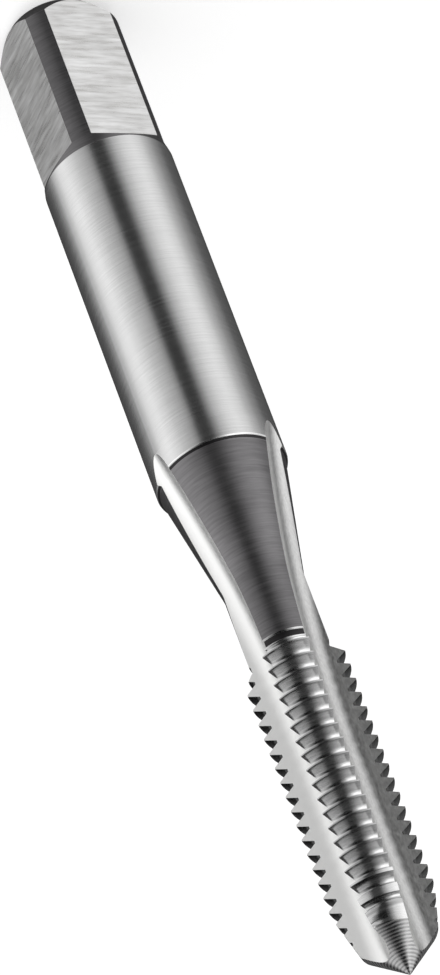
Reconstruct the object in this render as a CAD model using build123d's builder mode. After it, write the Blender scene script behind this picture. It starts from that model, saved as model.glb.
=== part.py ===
"""Hand tap for M4 x 0.7, ground from one piece of high speed steel.

The tap stands on its square drive end: the middle of that end is the origin, and the point is up at +Z.
Sizes are in millimetres. Angles round the axis go from +X towards +Y.
"""

import os
from math import acos, ceil, cos, degrees, radians, sin, tan

from build123d import *

# Square drive end
square_length = 7.5
square_across_flats = 4.22
square_corner_diameter = 5.16
square_turn = -34.4
end_chamfer_depth = 0.62
end_chamfer_length = 0.8

# Shank
shank_diameter = 5.4
shank_length = 15.73
shank_chamfer_length = 0.65
shoulder_chamfer_depth = 0.12
shoulder_chamfer_length = 0.15

# Neck: a taper, then a stretch just over the thread's root
taper_length = 5.5
neck_diameter = 3.28
neck_length = 3.27
relief_clearance = 0.04
relief_length = 0.25

# Thread
thread_diameter = 4.16
thread_pitch = 0.7
thread_angle = 60.0
thread_length = 11.37
groove_offset = 0.15

# Taper lead, measured at the cutting edges: it is ground off centre, so each land falls away behind its edge
lead_length = 1.82
lead_end_diameter = 3.27
lead_off_centre = 0.115

# Point
point_angle = 89.0
point_radius = 0.08

# Flutes
flute_count = 3
flute_turn = -156.7
core_diameter = 1.42
face_lean = 18.0
face_radius = 0.72
heel_lean = 51.0
heel_radius = 1.25
wheel_radius = 61.0
flute_into_shank = 1.0

# Thread form: a sharp V whose crest loses a twelfth of its height and whose root loses a sixth
flank_slope = tan(radians(thread_angle / 2))
sharp_height = thread_pitch / 2 / flank_slope
crest_cut = sharp_height / 12
root_cut = sharp_height / 6
thread_depth = sharp_height - crest_cut - root_cut

# Radii
square_radius = square_corner_diameter / 2
shank_radius = shank_diameter / 2
neck_radius = neck_diameter / 2
crest_radius = thread_diameter / 2
root_radius = crest_radius - thread_depth
relief_radius = root_radius - relief_clearance
lead_end_radius = lead_end_diameter / 2
core_radius = core_diameter / 2

# Stations along the axis
shank_start = square_length + shank_chamfer_length
shoulder = shank_start + shank_length
taper_start = shoulder + shoulder_chamfer_length
taper_end = taper_start + taper_length
neck_end = taper_end + neck_length
relief_start = neck_end + neck_radius - relief_radius
relief_end = relief_start + relief_length
thread_start = relief_end + crest_radius - relief_radius
lead_start = thread_start + thread_length
lead_end = lead_start + lead_length

# Point: a cone whose tip is a small ball
half_point = radians(point_angle / 2)
sharp_tip = lead_end + lead_end_radius / tan(half_point)
point_start = sharp_tip - crest_radius / tan(half_point)
ball_centre = sharp_tip - point_radius / sin(half_point)
ball_meets_cone = (point_radius * cos(half_point), ball_centre + point_radius * sin(half_point))
tip = ball_centre + point_radius

# Each flute is ground by a wheel that lifts out of the work at the shoulder
wheel_drop = shank_radius - core_radius
wheel_lift_angle = acos(1 - wheel_drop / wheel_radius)
full_depth_at = shoulder - flute_into_shank + wheel_radius * sin(wheel_lift_angle)
flute_spacing = 360 / flute_count

# Cutting shapes reach this far past what they cut, and the wheel turns this many times its lift angle
cutter_margin = 1.0
wheel_overrun = 1.2


def flute_wall(lean, bottom_radius, side):
    """Where a wall leaves the flute's round bottom, and where it ends outside the shank.

    The section's own X is outwards from the axis. Side is -1 for the cutting face, +1 for the heel.
    """
    slope = tan(radians(lean))
    foot = core_radius + bottom_radius * (1 - sin(radians(lean)))
    foot_across = bottom_radius * cos(radians(lean))
    top = shank_radius + cutter_margin
    top_across = foot_across + (top - foot) * slope
    return (foot, side * foot_across), (top, side * top_across)


# Flute: a straight stretch to beyond the point, and a round run-out into the shank
outwards = (cos(radians(flute_turn)), sin(radians(flute_turn)), 0)
flute_plane = Plane(origin=(0, 0, full_depth_at), x_dir=outwards, z_dir=(0, 0, 1))
face_foot, face_top = flute_wall(face_lean, face_radius, -1)
heel_foot, heel_top = flute_wall(heel_lean, heel_radius, 1)
flute_bottom = (core_radius, 0)

with BuildPart() as flute:
    with BuildSketch(flute_plane) as flute_section:
        with BuildLine():
            face = Line(face_top, face_foot)
            TangentArc(face @ 1, flute_bottom, tangent=face % 1)
            TangentArc(flute_bottom, heel_foot, tangent=(0, 1))
            Polyline(heel_foot, heel_top, face_top)
        make_face()
    extrude(amount=tip + cutter_margin - full_depth_at)
    wheel_centre = flute_plane.origin + flute_plane.x_dir * (core_radius + wheel_radius)
    wheel_axis = Axis(wheel_centre, -flute_plane.y_dir)
    revolve(flute_section.sketch, axis=wheel_axis, revolution_arc=degrees(wheel_lift_angle) * wheel_overrun)

# Lead: what is ground off one land, from the middle of one flute to the middle of the next
lead_slope = (crest_radius - lead_end_radius) / lead_length
cut_from = lead_start - lead_off_centre / lead_slope
cut_to = tip + cutter_margin
cut_radius = crest_radius + cutter_margin

with BuildPart() as lead:
    lead_centre = -flute_plane.x_dir * lead_off_centre
    with BuildSketch(Plane(origin=lead_centre, x_dir=outwards, z_dir=-flute_plane.y_dir)):
        with BuildLine():
            Polyline(
                (crest_radius + (lead_start - cut_from) * lead_slope, cut_from),
                (crest_radius - (cut_to - lead_start) * lead_slope, cut_to),
                (cut_radius, cut_to),
                (cut_radius, cut_from),
                close=True,
            )
        make_face()
    revolve(axis=Axis(lead_centre, (0, 0, 1)), revolution_arc=flute_spacing)

# Thread groove: the stretch from the middle of one flute to the middle of the next
groove_start = relief_end + groove_offset
groove_advance = thread_pitch / flute_count
groove_top = thread_depth + crest_cut / 2
half_root = root_cut * flank_slope
half_mouth = half_root + groove_top * flank_slope

with BuildPart() as groove:
    helix = Helix(pitch=thread_pitch, height=groove_advance, radius=root_radius)
    with BuildSketch(Plane(origin=helix @ 0, x_dir=(1, 0, 0), z_dir=helix % 0)):
        with BuildLine():
            Polyline(
                (0, -half_root),
                (groove_top, -half_mouth),
                (groove_top, half_mouth),
                (0, half_root),
                close=True,
            )
        make_face()
    sweep(path=helix, is_frenet=True)

# The thread goes on from one stretch to the next, until its groove has left the lead
groove_count = ceil((lead_end + half_mouth - groove_start) / groove_advance)
groove_places = [
    Location(
        (0, 0, groove_start + step * groove_advance),
        (0, 0, flute_turn + step * flute_spacing),
    )
    for step in range(groove_count)
]

with BuildPart() as thread_tap:
    # Turned blank
    with BuildSketch(Plane.XZ):
        with BuildLine():
            side = Polyline(
                (0, 0),
                (square_radius - end_chamfer_depth, 0),
                (square_radius, end_chamfer_length),
                (square_radius, square_length),
                (shank_radius, shank_start),
                (shank_radius, shoulder),
                (shank_radius - shoulder_chamfer_depth, taper_start),
                (neck_radius, taper_end),
                (neck_radius, neck_end),
                (relief_radius, relief_start),
                (relief_radius, relief_end),
                (crest_radius, thread_start),
                (crest_radius, point_start),
                ball_meets_cone,
            )
            ball = TangentArc(side @ 1, (0, tip), tangent=side % 1)
            Line(ball @ 1, side @ 0)
        make_face()
    revolve(axis=Axis.Z)

    # Square drive end
    with BuildSketch(Plane.XY):
        Circle(square_radius + cutter_margin)
        Rectangle(square_across_flats, square_across_flats, rotation=square_turn, mode=Mode.SUBTRACT)
    extrude(amount=square_length, mode=Mode.SUBTRACT)

    # Flutes, then the lead and the thread on the lands that they leave
    with PolarLocations(0, flute_count):
        add(flute.part, mode=Mode.SUBTRACT)
        add(lead.part, mode=Mode.SUBTRACT)
    with Locations(*groove_places):
        add(groove.part, mode=Mode.SUBTRACT)

os.makedirs("parts", exist_ok=True)
thread_tap.part.label = "thread_tap"
export_step(thread_tap.part, "parts/thread_tap.step")
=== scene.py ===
"""A hand tap for M4 x 0.7, standing on its square drive end, seen from the side of its point.

One closed mesh stands for the solid. It is a grid of columns round the axis and rows up it: the columns keep to
the heel, the land and the cutting face of each third, and the rows follow the thread's helix.
"""

from math import acos, atan2, ceil, cos, degrees, hypot, pi, radians, sin, sqrt, tan

import bmesh
import bpy
from mathutils import Matrix, Vector


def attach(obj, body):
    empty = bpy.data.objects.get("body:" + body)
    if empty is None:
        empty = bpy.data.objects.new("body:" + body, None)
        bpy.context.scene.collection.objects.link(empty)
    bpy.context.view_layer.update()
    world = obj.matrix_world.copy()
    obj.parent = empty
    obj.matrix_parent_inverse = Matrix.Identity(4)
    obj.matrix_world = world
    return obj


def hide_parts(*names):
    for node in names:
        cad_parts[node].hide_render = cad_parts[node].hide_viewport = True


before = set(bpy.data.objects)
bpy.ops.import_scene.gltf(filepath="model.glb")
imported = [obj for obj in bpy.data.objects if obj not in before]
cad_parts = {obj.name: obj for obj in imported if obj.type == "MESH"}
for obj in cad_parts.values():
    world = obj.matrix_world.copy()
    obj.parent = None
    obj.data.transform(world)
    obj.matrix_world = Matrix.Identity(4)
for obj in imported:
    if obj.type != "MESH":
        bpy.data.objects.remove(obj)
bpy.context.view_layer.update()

MM = 0.001

# Sizes of the part in millimetres, and angles round its axis from +X towards +Y
SQUARE_LENGTH = 7.5
HALF_FLATS = 2.11
SQUARE_RADIUS = 2.58
SQUARE_TURN = radians(-34.4)
SQUARE_HALF_ANGLE = acos(HALF_FLATS / SQUARE_RADIUS)
END_CHAMFER_DEPTH = 0.62
END_CHAMFER_LENGTH = 0.8
FLAT_END = 7.58
FLAT_END_SLOPE = 0.84
SHANK_RADIUS = 2.7
SHANK_START = 8.15
SHOULDER = 23.88
TAPER_START = 24.03
TAPER_START_RADIUS = 2.58
TAPER_END = 29.53
NECK_RADIUS = 1.64
NECK_END = 32.8

# Thread
PITCH = 0.7
CREST_RADIUS = 2.08
FLANK = tan(radians(30))
SHARP_HEIGHT = PITCH / 2 / FLANK
ROOT_CUT = SHARP_HEIGHT / 6
ROOT_RADIUS = CREST_RADIUS - SHARP_HEIGHT * 3 / 4
HALF_ROOT = ROOT_CUT * FLANK
HALF_MOUTH = HALF_ROOT + (CREST_RADIUS - ROOT_RADIUS) * FLANK
RELIEF_RADIUS = ROOT_RADIUS - 0.04
RELIEF_START = NECK_END + NECK_RADIUS - RELIEF_RADIUS
RELIEF_END = RELIEF_START + 0.25
THREAD_START = RELIEF_END + CREST_RADIUS - RELIEF_RADIUS
GROOVE_START = RELIEF_END + 0.15

# Lead and point
LEAD_START = THREAD_START + 11.37
LEAD_LENGTH = 1.82
LEAD_END_RADIUS = 1.635
LEAD_OFF_CENTRE = 0.115
LEAD_SLOPE = (CREST_RADIUS - LEAD_END_RADIUS) / LEAD_LENGTH
HALF_POINT = radians(44.5)
SHARP_TIP = LEAD_START + LEAD_LENGTH + LEAD_END_RADIUS / tan(HALF_POINT)
POINT_RADIUS = 0.08
BALL_CENTRE = SHARP_TIP - POINT_RADIUS / sin(HALF_POINT)

# Flutes: the lean of a wall, and the radius at its foot
FLUTES = 3
FLUTE_TURN = radians(-156.7)
FLUTE_SPACING = 2 * pi / FLUTES
CORE_RADIUS = 0.71
FACE = (radians(18), 0.72)
HEEL = (radians(51), 1.25)
WALL_LIMIT = 8.0
WHEEL_RADIUS = 61.0
RUN_OUT_END = SHOULDER - 1.0
FULL_DEPTH_AT = RUN_OUT_END + WHEEL_RADIUS * sin(acos(1 - (SHANK_RADIUS - CORE_RADIUS) / WHEEL_RADIUS))

# Columns of the mesh in the heel, the land and the cutting face of each third
HEEL_COLUMNS = 16
LAND_COLUMNS = 33
FACE_COLUMNS = 18
THIRD_COLUMNS = HEEL_COLUMNS + LAND_COLUMNS + FACE_COLUMNS
COLUMNS = FLUTES * THIRD_COLUMNS

# Rows of the mesh where the flutes run out, up the neck, on the cone, at its tip and on the tip's ball
RUN_OUT_ROWS = 14
RUN_OUT_LENGTH = 0.9
NECK_ROWS = 18
NECK_ROW_SPACING = 0.5
CONE_ROWS = 12
TIP_ROWS = 8
BALL_ROWS = 5
ROW_GAP = 0.03

# Where the rows of the mesh follow the thread, and the rows that each turn has
THREAD_ROWS_FROM = RELIEF_END
THREAD_ROWS_TO = 46.95
MID_CREST, LEFT_CREST, LEFT_LOW, LEFT_ROOT, RIGHT_ROOT, RIGHT_LOW, RIGHT_CREST = range(7)
ROOT_ROUND = 0.16
HALF_LOW = HALF_ROOT + ROOT_ROUND * FLANK
ROW_OFFSETS = (-PITCH / 2, -HALF_MOUTH, -HALF_LOW, -HALF_ROOT, HALF_ROOT, HALF_LOW, HALF_MOUTH)
LEAST_CREST = 0.004
LEAST_GROOVE = 0.001

# The steels, in the order of the table STEELS
SHANK_STEEL, FLAT_STEEL, NECK_STEEL, PAINTED_SHADE_STEEL, FLUTE_STEEL, THREAD_STEEL, POINT_STEEL = range(7)

# The turned profile: height, radius, and the rounding of the corner
TURNED_CORNERS = (
    (SQUARE_LENGTH, SQUARE_RADIUS, 0),
    (SHANK_START, SHANK_RADIUS, 0.25),
    (SHOULDER, SHANK_RADIUS, 0.08),
    (TAPER_START, TAPER_START_RADIUS, 0.06),
    (TAPER_END, NECK_RADIUS, 1.2),
    (NECK_END, NECK_RADIUS, 0.02),
    (RELIEF_START, RELIEF_RADIUS, 0.02),
    (RELIEF_END, RELIEF_RADIUS, 0),
)

# The steel that the profile's rows have below each height. The shoulder's step and the relief groove before the
# thread get near-black steel, which is painted shade.
TURNED_STEELS = (
    (SHANK_START - 0.02, NECK_STEEL),
    (SHOULDER + 0.04, SHANK_STEEL),
    (TAPER_START - 0.02, PAINTED_SHADE_STEEL),
    (NECK_END - 0.03, NECK_STEEL),
    (RELIEF_START - 0.02, THREAD_STEEL),
    (THREAD_ROWS_FROM, PAINTED_SHADE_STEEL),
)

# Finish of the mesh
ROUNDING_STEP = 7
MERGE_WITHIN = 0.0003
DEGENERATE_WITHIN = 0.0001
SHARP_ANGLE = radians(12)
HEEL_LIGHT_BLEND_COLUMNS = 5
CONE_MIXED_LENGTH = 0.9


def between(low, value, high):
    return max(low, min(value, high))


def halve(is_below, low, high):
    """The value between low and high up to which is_below holds."""
    for _ in range(40):
        middle = (low + high) / 2
        if is_below(middle):
            low = middle
        else:
            high = middle
    return (low + high) / 2


def wall_point(wall, along):
    """A point of a full-depth flute's section: outwards, and away from the middle of the flute."""
    lean, foot_radius = wall
    arc = foot_radius * (pi / 2 - lean)
    if along <= arc:
        turn = along / foot_radius
        return CORE_RADIUS + foot_radius * (1 - cos(turn)), foot_radius * sin(turn)
    straight = along - arc
    foot = CORE_RADIUS + foot_radius * (1 - sin(lean))
    return foot + straight * cos(lean), foot_radius * cos(lean) + straight * sin(lean)


def lifted(out, z):
    """Where the grinding wheel's lift takes a point of the section."""
    run = max(FULL_DEPTH_AT - z, 0)
    reach = CORE_RADIUS + WHEEL_RADIUS - out
    return CORE_RADIUS + WHEEL_RADIUS - sqrt(reach * reach - run * run)


def wall_place(wall, along, z, radius):
    """Distance out and across at a place on the wall, or on the land where there is no flute."""
    if lifted(CORE_RADIUS, z) >= radius:
        return radius, 0.0
    out, across = wall_point(wall, along)
    return lifted(out, z), across


def wall_end(wall, z, radius):
    """How far along the wall it meets the land."""
    if lifted(CORE_RADIUS, z) >= radius:
        return 0.0
    return halve(lambda along: hypot(*wall_place(wall, along, z, radius)) < radius, 0, WALL_LIMIT)


def land_radius(turn, z):
    """The land's radius without its thread. Turn goes up from the middle of the first flute."""
    from_flute = turn % FLUTE_SPACING
    side = LEAD_OFF_CENTRE * sin(from_flute)
    cut = CREST_RADIUS - (z - LEAD_START) * LEAD_SLOPE
    lead = sqrt(max(cut * cut - side * side, 0)) - LEAD_OFF_CENTRE * cos(from_flute)
    start = RELIEF_RADIUS + z - RELIEF_END
    return min(CREST_RADIUS, start, lead, (SHARP_TIP - z) * tan(HALF_POINT))


def land_corners(turn):
    """Heights at which the land's outline has a corner."""
    from_flute = turn % FLUTE_SPACING
    off = LEAD_OFF_CENTRE
    cut = sqrt(CREST_RADIUS ** 2 + 2 * CREST_RADIUS * off * cos(from_flute) + off ** 2)
    lead_start = LEAD_START + (CREST_RADIUS - cut) / LEAD_SLOPE
    point_start = halve(
        lambda z: land_radius(turn, z) < (SHARP_TIP - z) * tan(HALF_POINT) - 1e-9,
        LEAD_START, THREAD_ROWS_TO,
    )
    return THREAD_START, lead_start, point_start


def groove_centre(turn, count):
    """Height of the middle of the thread's groove."""
    return GROOVE_START + (turn / (2 * pi) + count) * PITCH


def groove_radius(from_centre):
    """Radius of the thread's groove, by the height from its middle."""
    return ROOT_RADIUS + (from_centre - HALF_ROOT) / FLANK


def groove_row(turn, count, row):
    """Height and radius of one of the thread's rows, on the land."""
    centre = groove_centre(turn, count)
    side = -1 if row < RIGHT_ROOT else 1
    if row == MID_CREST:
        low = groove_row(turn, count - 1, RIGHT_CREST)[0]
        high = groove_row(turn, count, LEFT_CREST)[0]
        z = (low + high) / 2
        for corner in land_corners(turn):
            if low + LEAST_CREST < corner < high - LEAST_CREST:
                z = corner
    elif row in (LEFT_CREST, RIGHT_CREST):
        def inside(half):
            return groove_radius(half) < land_radius(turn, centre + side * half)

        half = HALF_MOUTH
        if count >= 0:
            half = halve(inside, HALF_ROOT, HALF_MOUTH * 1.1) if inside(HALF_ROOT) else HALF_ROOT
            half = max(half, HALF_ROOT + LEAST_GROOVE)
        z = centre + side * half
    elif row in (LEFT_LOW, RIGHT_LOW) and count >= 0:
        crest = groove_row(turn, count, LEFT_CREST if side < 0 else RIGHT_CREST)[0]
        z = centre + side * min(HALF_LOW, (abs(crest - centre) + HALF_ROOT) / 2)
    else:
        z = centre + ROW_OFFSETS[row]
    z = between(THREAD_ROWS_FROM, z, THREAD_ROWS_TO)
    radius = land_radius(turn, z)
    if LEFT_LOW <= row <= RIGHT_LOW and count >= 0:
        radius = min(radius, groove_radius(abs(z - centre)))
    return z, radius


def around(surface, middle_height, snap=lambda turn: turn):
    """One row of points round the tap. Surface gives height and radius on a land at a turn."""
    points = []
    for third in range(FLUTES):
        base = third * FLUTE_SPACING
        # The land's height at its edges depends on where the edges are, so both are found in a few rounds
        heel_turn, face_turn = base + 0.7, base + FLUTE_SPACING - 0.4
        for _ in range(4):
            heel_z, heel_radius = surface(heel_turn)
            heel_end = wall_end(HEEL, heel_z, heel_radius)
            out, across = wall_place(HEEL, heel_end, heel_z, heel_radius)
            heel_turn = base + atan2(across, out)
            face_z, face_radius = surface(face_turn)
            face_end = wall_end(FACE, face_z, face_radius)
            out, across = wall_place(FACE, face_end, face_z, face_radius)
            face_turn = base + FLUTE_SPACING - atan2(across, out)

        def wall(which, side, centre, middle_z, end_z, end_radius, end, share):
            z = middle_z + (end_z - middle_z) * share
            out, across = wall_place(which, end * share, z, end_radius)
            turn = FLUTE_TURN + snap(centre + side * atan2(across, out))
            reach = hypot(out, across)
            points.append((reach * cos(turn), reach * sin(turn), z))

        for column in range(HEEL_COLUMNS):
            share = column / HEEL_COLUMNS
            wall(HEEL, 1, base, middle_height(base), heel_z, heel_radius, heel_end, share)
        for column in range(LAND_COLUMNS + 1):
            turn = heel_turn + (face_turn - heel_turn) * column / LAND_COLUMNS
            z, radius = surface(turn)
            turn = FLUTE_TURN + snap(turn)
            points.append((radius * cos(turn), radius * sin(turn), z))
        # The last third also has the point that closes the row, in the middle of the first flute
        centre = base + FLUTE_SPACING
        for column in range(FACE_COLUMNS - 1, 0 if third < FLUTES - 1 else -1, -1):
            share = column / FACE_COLUMNS
            wall(FACE, -1, centre, middle_height(centre), face_z, face_radius, face_end, share)
    return points


def ring(z, radius):
    return around(lambda turn: (z, radius), lambda turn: z)


def point_ring(z):
    return around(lambda turn: (z, land_radius(turn, z)), lambda turn: z)


def thread_row(count, row):
    def middle_height(turn):
        z = groove_centre(turn, count) + ROW_OFFSETS[row]
        return between(THREAD_ROWS_FROM, z, THREAD_ROWS_TO)

    return around(lambda turn: groove_row(turn, count, row), middle_height)


def from_flat(turn):
    """Angle from the middle of the nearest flat of the square."""
    return (turn - SQUARE_TURN + pi / 4) % (pi / 2) - pi / 4


def square_rows():
    """Rows of the drive end, with their steels: end face, chamfer, flats and the flats' sloped ends."""
    step = FLUTE_SPACING / LAND_COLUMNS
    steps = FLUTES * LAND_COLUMNS
    moved = {}
    for side in range(4):
        for sign in (-1, 1):
            edge = (SQUARE_TURN + side * pi / 2 + sign * SQUARE_HALF_ANGLE - FLUTE_TURN) % (2 * pi)
            moved[round(edge / step) % steps] = edge

    def snap(turn):
        """Moves the column nearest to an edge of the square onto that edge."""
        place = round(turn / step) % steps
        if place in moved:
            return moved[place] + 2 * pi * round((turn - moved[place]) / (2 * pi))
        return turn

    def reach(turn):
        return min(SQUARE_RADIUS, HALF_FLATS / cos(from_flat(snap(turn) + FLUTE_TURN)))

    def blank(z):
        """Radius of the blank that the flats are cut from."""
        return SQUARE_RADIUS + (SHANK_RADIUS - SQUARE_RADIUS) * (z - SQUARE_LENGTH) / (SHANK_START - SQUARE_LENGTH)

    def flat_end(turn):
        """Where the sloped end of a flat comes out of the blank."""
        share = HALF_FLATS / reach(turn)
        if reach(turn) >= SQUARE_RADIUS - 1e-6:
            return FLAT_END, blank(FLAT_END)
        z = halve(
            lambda z: HALF_FLATS + (z - FLAT_END) / FLAT_END_SLOPE < blank(z) * share,
            FLAT_END, SHANK_START,
        )
        return z, blank(z)

    slope = END_CHAMFER_LENGTH / END_CHAMFER_DEPTH
    end_radius = SQUARE_RADIUS - END_CHAMFER_DEPTH
    surfaces = (
        (lambda turn: (0, 0), NECK_STEEL),
        (lambda turn: (0, end_radius), NECK_STEEL),
        (lambda turn: ((reach(turn) - end_radius) * slope, reach(turn)), FLAT_STEEL),
        (lambda turn: (FLAT_END, reach(turn)), NECK_STEEL),
        (flat_end, NECK_STEEL),
    )
    return [
        (around(surface, lambda turn, surface=surface: surface(turn)[0], snap), steel)
        for surface, steel in surfaces
    ]


def rounded(corners):
    """Heights and radii along a turned profile with rounded corners, and a row close to each side of them."""
    result = []
    for index, (z, radius, rounding) in enumerate(corners):
        if rounding == 0:
            result.append((z, radius))
            continue
        here = Vector((z, radius))
        before = (Vector(corners[index - 1][:2]) - here).normalized()
        after = (Vector(corners[index + 1][:2]) - here).normalized()
        half = before.angle(after) / 2
        back = rounding / tan(half)
        centre = here + (before + after).normalized() * rounding / sin(half)
        first = here + before * back - centre
        last = here + after * back - centre
        steps = max(2, round(degrees(pi - 2 * half) / ROUNDING_STEP))
        result.append(tuple(here + before * (back + ROW_GAP)))
        for step in range(steps + 1):
            arm = first.lerp(last, step / steps).normalized() * rounding
            result.append(tuple(centre + arm))
        result.append(tuple(here + after * (back + ROW_GAP)))
    return result


def profile_radius(profile, z):
    for (low, low_radius), (high, high_radius) in zip(profile, profile[1:]):
        if low <= z <= high:
            return low_radius + (high_radius - low_radius) * (z - low) / max(high - low, 1e-9)
    return profile[-1][1]


def turned_rows():
    """Rows from the square to the thread, with their steels, closer together where the flutes run out."""
    profile = rounded(TURNED_CORNERS)[1:]
    run_out = [RUN_OUT_END + (step / RUN_OUT_ROWS) ** 2 * RUN_OUT_LENGTH for step in range(RUN_OUT_ROWS + 1)]
    neck = [RUN_OUT_END + RUN_OUT_LENGTH + step * NECK_ROW_SPACING for step in range(1, NECK_ROWS + 1)]
    heights = dict(profile)
    for z in run_out + neck:
        if min(abs(z - other) for other, _ in profile) > ROW_GAP:
            heights[z] = profile_radius(profile, z)
    rows = []
    for z in sorted(heights):
        if z < THREAD_ROWS_FROM:
            steel = next(steel for limit, steel in TURNED_STEELS if z < limit)
            rows.append((ring(z, heights[z]), steel))
    return rows


def make_rows():
    """All the tap's rows of points from the drive end up, each with the steel above it on the lands."""
    rows = square_rows() + turned_rows()
    rows.append((ring(RELIEF_END, RELIEF_RADIUS), THREAD_STEEL))
    turns = ceil((THREAD_ROWS_TO - GROOVE_START) / PITCH)
    for count in range(-1, turns + 1):
        for row in range(len(ROW_OFFSETS)):
            rows.append((thread_row(count, row), THREAD_STEEL))
    flute_end = SHARP_TIP - CORE_RADIUS / tan(HALF_POINT)
    for step in range(CONE_ROWS + 1):
        z = flute_end - (1 - step / CONE_ROWS) ** 2 * (flute_end - THREAD_ROWS_TO)
        rows.append((point_ring(z), POINT_STEEL))
    ball_low = BALL_CENTRE + POINT_RADIUS * sin(HALF_POINT)
    for step in range(1, TIP_ROWS + 1):
        rows.append((point_ring(flute_end + (ball_low - flute_end) * step / TIP_ROWS), POINT_STEEL))
    for step in range(1, BALL_ROWS + 1):
        turn = HALF_POINT + (pi / 2 - HALF_POINT) * step / BALL_ROWS
        rows.append((ring(BALL_CENTRE + POINT_RADIUS * sin(turn), POINT_RADIUS * cos(turn)), POINT_STEEL))
    return rows


def mend_steel(face):
    """Gives cone faces among the thread's rows, and corner faces among the flats, their own steel."""
    centre = face.calc_center_median() / MM
    if face.material_index == THREAD_STEEL and centre.z > THREAD_ROWS_TO - CONE_MIXED_LENGTH:
        if abs(face.normal.z - sin(HALF_POINT)) < 0.03:
            face.material_index = POINT_STEEL
    if face.material_index == FLAT_STEEL and abs(from_flat(atan2(centre.y, centre.x))) > SQUARE_HALF_ANGLE:
        face.material_index = NECK_STEEL


def make_tap(materials):
    rows = make_rows()
    net = bmesh.new()
    # Mask of the painted light on the flutes' heels: 0 at the middle of each flute and on its cutting face, rising to
    # 1 on the heel
    heel_painted_light = net.verts.layers.float.new("heel_painted_light")
    corners = [[net.verts.new(Vector(point) * MM) for point in row] for row, _ in rows]
    for row in corners:
        for column, vert in enumerate(row):
            place = column % THIRD_COLUMNS
            from_middle = place if place < THIRD_COLUMNS / 2 else place - THIRD_COLUMNS
            vert[heel_painted_light] = between(0, from_middle / HEEL_LIGHT_BLEND_COLUMNS, 1)
    for (low, high), (_, steel) in zip(zip(corners, corners[1:]), rows):
        for column in range(COLUMNS):
            face = net.faces.new((low[column], low[column + 1], high[column + 1], high[column]))
            on_land = HEEL_COLUMNS <= column % THIRD_COLUMNS < HEEL_COLUMNS + LAND_COLUMNS
            face.material_index = steel if on_land else FLUTE_STEEL
            face.smooth = True
    bmesh.ops.remove_doubles(net, verts=net.verts, dist=MERGE_WITHIN * MM)
    bmesh.ops.dissolve_degenerate(net, edges=net.edges, dist=DEGENERATE_WITHIN * MM)
    for face in net.faces:
        face.normal_update()
        mend_steel(face)
    # An edge is sharp where its faces turn, but the thread's root looks round
    root_limit = (ROOT_RADIUS + ROOT_ROUND + 0.01) * MM
    for edge in net.edges:
        in_root = all(hypot(vert.co.x, vert.co.y) < root_limit for vert in edge.verts)
        on_thread = all(face.material_index == THREAD_STEEL for face in edge.link_faces)
        edge.smooth = edge.calc_face_angle(0) < SHARP_ANGLE or (in_root and on_thread)
    mesh = bpy.data.meshes.new("tap")
    net.to_mesh(mesh)
    net.free()
    for material in materials:
        mesh.materials.append(material)
    tap = bpy.data.objects.new("tap", mesh)
    bpy.context.scene.collection.objects.link(tap)
    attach(tap, "root")
    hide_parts("thread_tap")


# The photograph's view
VIEW_ELEVATION = radians(35.5)
VIEW_ROLL = radians(20.69)
VIEW_DISTANCE = 346.45 * MM
LENS = 326.58
SENSOR = 36.0
CLIP_FROM, CLIP_TO = 0.01, 10
AIM_HEIGHT = 24.29 * MM
AIM_ASIDE = 0.223 * MM


def make_camera():
    """The camera looks down on the point with the tap's axis running down and to the right."""
    back = Vector((0, -cos(VIEW_ELEVATION), sin(VIEW_ELEVATION)))
    down = Vector((0, sin(VIEW_ELEVATION), cos(VIEW_ELEVATION)))
    aside = back.cross(down)
    right = down * sin(VIEW_ROLL) + aside * cos(VIEW_ROLL)
    up = aside * sin(VIEW_ROLL) - down * cos(VIEW_ROLL)
    target = Vector((AIM_ASIDE, 0, AIM_HEIGHT))
    data = bpy.data.cameras.new("camera")
    data.lens = LENS
    data.sensor_width = SENSOR
    data.clip_start = CLIP_FROM
    data.clip_end = CLIP_TO
    camera = bpy.data.objects.new("camera", data)
    turn = Matrix((right, up, back)).transposed().to_4x4()
    camera.matrix_world = Matrix.Translation(target + back * VIEW_DISTANCE) @ turn
    bpy.context.scene.collection.objects.link(camera)
    bpy.context.scene.camera = camera


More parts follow.
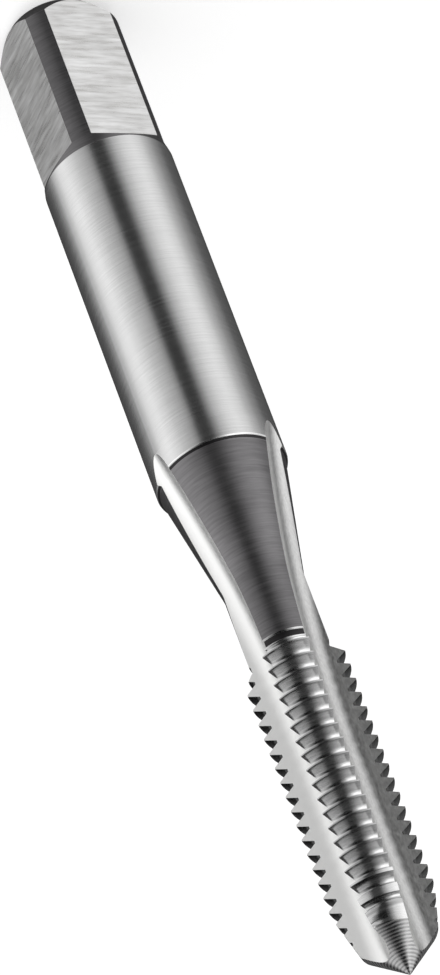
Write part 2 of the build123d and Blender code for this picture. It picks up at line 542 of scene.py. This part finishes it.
class Nodes:
    """Adds nodes to a tree. An input is given a value, or another node's output."""

    def __init__(self, owner):
        owner.use_nodes = True
        self.tree = owner.node_tree
        self.tree.nodes.clear()

    def add(self, kind, output=0, inputs=None, **settings):
        node = self.tree.nodes.new(kind)
        for name, value in settings.items():
            setattr(node, name, value)
        for name, value in (inputs or {}).items():
            if isinstance(value, bpy.types.NodeSocket):
                self.tree.links.new(value, node.inputs[name])
            else:
                node.inputs[name].default_value = value
        return node.outputs[output]

    def math(self, operation, *values):
        return self.add("ShaderNodeMath", inputs=dict(enumerate(values)), operation=operation)

    def scale(self, colour, factor):
        return self.add("ShaderNodeVectorMath", inputs={0: colour, "Scale": factor}, operation="SCALE")

    def spread(self, value, start, end, first, last):
        """Goes from first to last while the value goes from start to end."""
        return self.add("ShaderNodeMapRange", inputs={0: value, 1: start, 2: end, 3: first, 4: last})

    def ramp(self, factor, stops, interpolation="LINEAR"):
        """A ramp of greys, or of colours, from pairs of place and value."""
        socket = self.add("ShaderNodeValToRGB", inputs={0: factor})
        ramp = socket.node.color_ramp
        ramp.interpolation = interpolation
        while len(ramp.elements) < len(stops):
            ramp.elements.new(0.5)
        for element, (place, value) in zip(ramp.elements, stops):
            element.position = place
            element.color = (value, value, value, 1) if isinstance(value, (int, float)) else (*value, 1)
        return socket

    def mix(self, factor, first, second):
        """A colour between two, each given as red, green and blue or as an output."""
        first, second = ((*value, 1) if isinstance(value, tuple) else value for value in (first, second))
        return self.add("ShaderNodeMix", 2, {0: factor, 6: first, 7: second}, data_type="RGBA")

    def finish(self, kind, surface):
        output = self.tree.nodes.new(kind)
        self.tree.links.new(surface, output.inputs["Surface"])


FLOOR_HALF_SIDE = 1.5
FLOOR_PAINT = 0.75
FLOOR_GLOW = 0.5


def make_floor():
    """A white floor that takes the tap's shadow. The steel mirrors the light tent in its place."""
    mesh = bpy.data.meshes.new("floor")
    corners = [(x * FLOOR_HALF_SIDE, y * FLOOR_HALF_SIDE, 0) for x, y in ((-1, -1), (1, -1), (1, 1), (-1, 1))]
    mesh.from_pydata(corners, [], [(0, 1, 2, 3)])
    floor = bpy.data.objects.new("floor", mesh)
    bpy.context.scene.collection.objects.link(floor)
    material = bpy.data.materials.new("white_floor")
    nodes = Nodes(material)
    for_camera = nodes.add("ShaderNodeLightPath", "Is Camera Ray")
    paint = nodes.add("ShaderNodeBsdfDiffuse", inputs={"Color": (FLOOR_PAINT, FLOOR_PAINT, FLOOR_PAINT, 1)})
    strength = nodes.math("MULTIPLY", for_camera, FLOOR_GLOW)
    glow = nodes.add("ShaderNodeEmission", inputs={"Color": (1, 1, 1, 1), "Strength": strength})
    nodes.finish("ShaderNodeOutputMaterial", nodes.add("ShaderNodeAddShader", inputs={0: paint, 1: glow}))
    mesh.materials.append(material)
    floor.visible_glossy = False


# What polished steel mirrors: brightness by the angle round the tap from the camera's side, to the right.
# Open fault: most of these values are brightness read from the photo's shank and converted to light. They are
# picture data, which this script should not hold, and light that is chosen freely is to replace them.
LOW_LIGHT = (
    (-180, 0.05), (-150, 0.06), (-128, 0.1), (-112, 0.24), (-100, 0.58), (-84, 0.92), (-70, 1.0), (-56, 0.82),
    (-40, 0.59), (-26, 0.45), (-17, 0.32), (-10, 0.03), (11, 0.03), (19, 0.26), (30, 0.57), (46, 0.83), (60, 0.93),
    (74, 0.8), (90, 0.48), (108, 0.25), (128, 0.1), (180, 0.05),
)

# The same for what lies overhead, by how far it is to the right: adjusted to match the photo
HIGH_LIGHT = (
    (-1, 0.8), (-0.56, 0.4), (-0.42, 0.14), (-0.31, 0.08), (-0.24, 0.0), (0.19, 0.0), (0.26, 0.12),
    (0.36, 0.22), (0.5, 0.7), (1, 0.8),
)


def make_world():
    """A light tent: white to the floor, and for the steel panels at both sides with dark gaps in front and behind."""
    world = bpy.data.worlds.new("studio")
    bpy.context.scene.world = world
    nodes = Nodes(world)
    direction = nodes.add("ShaderNodeTexCoord", "Generated")
    parts = nodes.add("ShaderNodeSeparateXYZ", inputs={0: direction}).node
    across = nodes.math("MULTIPLY", parts.outputs["X"], -1)
    towards = nodes.math("MULTIPLY", parts.outputs["Y"], -1)
    up = parts.outputs["Z"]

    # Low down the light goes by the angle, and it gets stronger towards the horizon
    angle = nodes.math("ARCTAN2", across, towards)
    place = nodes.math("MULTIPLY_ADD", angle, 1 / (2 * pi), 0.5)
    low = nodes.ramp(place, [((at + 180) / 360, value) for at, value in LOW_LIGHT], "EASE")
    low = nodes.scale(low, nodes.spread(up, -0.45, -0.1, 1.0, 1.7))

    # Overhead it is dark behind, and strongest above the camera, which gives the thread's roots their glints
    side = nodes.math("MULTIPLY_ADD", across, 0.5, 0.5)
    high = nodes.ramp(side, [((at + 1) / 2, value) for at, value in HIGH_LIGHT], "EASE")
    high = nodes.scale(high, nodes.spread(towards, -0.7, -0.3, 0.01, 1.0))
    high = nodes.scale(high, nodes.spread(towards, 0.2, 0.55, 1.0, 2.2))
    mirrored = nodes.mix(nodes.spread(up, -0.06, 0.2, 0.0, 1.0), low, high)

    # Matt surfaces get more light from the left
    from_left = nodes.math("ADD", nodes.math("MULTIPLY", across, -0.8), nodes.math("MULTIPLY", towards, 0.6))
    soft = nodes.spread(from_left, -0.9, 1.0, 0.0, 1.5)

    for_glossy = nodes.add("ShaderNodeLightPath", "Is Glossy Ray")
    for_diffuse = nodes.add("ShaderNodeLightPath", "Is Diffuse Ray")
    colour = nodes.mix(for_glossy, nodes.mix(for_diffuse, (1, 1, 1), soft), mirrored)
    background = nodes.add("ShaderNodeBackground", inputs={"Color": colour, "Strength": 1.0})
    nodes.finish("ShaderNodeOutputWorld", background)


def marks(nodes, per_millimetre, detail):
    """Noise drawn out along the marks that a cutter leaves."""
    place = nodes.add("ShaderNodeTexCoord", "Object")
    scale = tuple(times / MM for times in per_millimetre)
    scaled = nodes.add("ShaderNodeMapping", inputs={"Vector": place, "Scale": scale})
    inputs = {"Vector": scaled, "Scale": 1.0, "Detail": detail, "Roughness": 0.6}
    return nodes.add("ShaderNodeTexNoise", "Fac", inputs)


# About how many bands the wave texture makes in a unit of length at a scale of 1
WAVE_BANDS = 3.2


def turned_rings(nodes, per_millimetre):
    """Rings that a turning tool leaves, a little uneven in their spacing."""
    place = nodes.add("ShaderNodeTexCoord", "Object")
    inputs = {
        "Vector": place, "Scale": per_millimetre / MM / WAVE_BANDS,
        "Distortion": 2.2, "Detail": 3.0, "Detail Scale": 0.35, "Detail Roughness": 0.7,
    }
    return nodes.add("ShaderNodeTexWave", "Fac", inputs, bands_direction="Z")


# What all the steels share: cloudiness, the range of noise that their colour goes by, and the depth of their grooves
CLOUDS_PER_MILLIMETRE = (0.6, 0.6, 0.5)
CLOUD_SHARE = 0.25
TINT_FROM, TINT_TO = 0.32, 0.68
ROUGH_FROM, ROUGH_TO = 0.3, 0.7
GROOVE_DEPTH = 0.01 * MM

# The heel of a flute is painted paler than its cutting face, as painted light, and it is a little more matt
HEEL_PAINTED_LIGHT_COLOUR = (0.94, 0.94, 0.93)
HEEL_MATT = 0.28


def make_steel(name, colour, roughness, per_millimetre, contrast, uneven, bump):
    """Steel with the marks of its last cut: streaks in its colour and its roughness, and fine grooves."""
    steel = bpy.data.materials.new(name)
    nodes = Nodes(steel)
    if name == "turned_point":
        lines = turned_rings(nodes, per_millimetre[2])
    else:
        lines = marks(nodes, per_millimetre, 3.0)
    clouds = marks(nodes, CLOUDS_PER_MILLIMETRE, 2.0)
    share = nodes.math(
        "ADD", nodes.math("MULTIPLY", lines, 1 - CLOUD_SHARE), nodes.math("MULTIPLY", clouds, CLOUD_SHARE),
    )
    dark = tuple(c * (1 - contrast) for c in colour)
    light = tuple(min(1.0, c * (1 + contrast)) for c in colour)
    tint = nodes.ramp(share, [(TINT_FROM, dark), (TINT_TO, light)])
    rough = nodes.ramp(lines, [(ROUGH_FROM, roughness - uneven), (ROUGH_TO, roughness + uneven)])
    grooves = nodes.add("ShaderNodeBump", "Normal", {"Strength": bump, "Distance": GROOVE_DEPTH, "Height": lines})
    inputs = {"Base Color": tint, "Metallic": 1.0, "Roughness": rough, "Normal": grooves}
    # Painted light: the flute's heel gets a paler colour and less metal than its cutting face
    if name == "ground_flutes":
        heel = nodes.add("ShaderNodeAttribute", "Fac", attribute_name="heel_painted_light")
        inputs["Metallic"] = nodes.math("MULTIPLY_ADD", heel, -HEEL_MATT, 1.0)
        inputs["Base Color"] = nodes.mix(heel, tint, HEEL_PAINTED_LIGHT_COLOUR)
    nodes.finish("ShaderNodeOutputMaterial", nodes.add("ShaderNodeBsdfPrincipled", 0, inputs))
    return steel


STEELS = (
    # Name, colour, roughness, marks per millimetre, contrast, unevenness, bump
    ("ground_shank", (0.80, 0.80, 0.80), 0.22, (0.5, 0.5, 22), 0.07, 0.03, 0.15),
    ("ground_flats", (0.82, 0.81, 0.795), 0.3, (0.6, 0.6, 5), 0.3, 0.05, 0.2),
    ("dark_neck", (0.205, 0.2, 0.205), 0.36, (0.8, 0.8, 12), 0.2, 0.04, 0.2),
    # Near black: painted shade in the relief groove before the thread and on the shoulder's step
    ("painted_shade_bands", (0.05, 0.048, 0.05), 0.4, (0.8, 0.8, 12), 0.2, 0.04, 0.2),
    ("ground_flutes", (0.66, 0.66, 0.655), 0.38, (16, 16, 5), 0.16, 0.06, 0.2),
    ("ground_thread", (0.69, 0.69, 0.69), 0.17, (2, 2, 30), 0.1, 0.03, 0.2),
    ("turned_point", (0.6, 0.6, 0.6), 0.26, (1, 1, 10), 0.26, 0.06, 0.12),
)


make_camera()
make_floor()
make_world()
make_tap([make_steel(*values) for values in STEELS])

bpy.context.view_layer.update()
view_settings = bpy.context.scene.view_settings
view_settings.view_transform = "Standard"
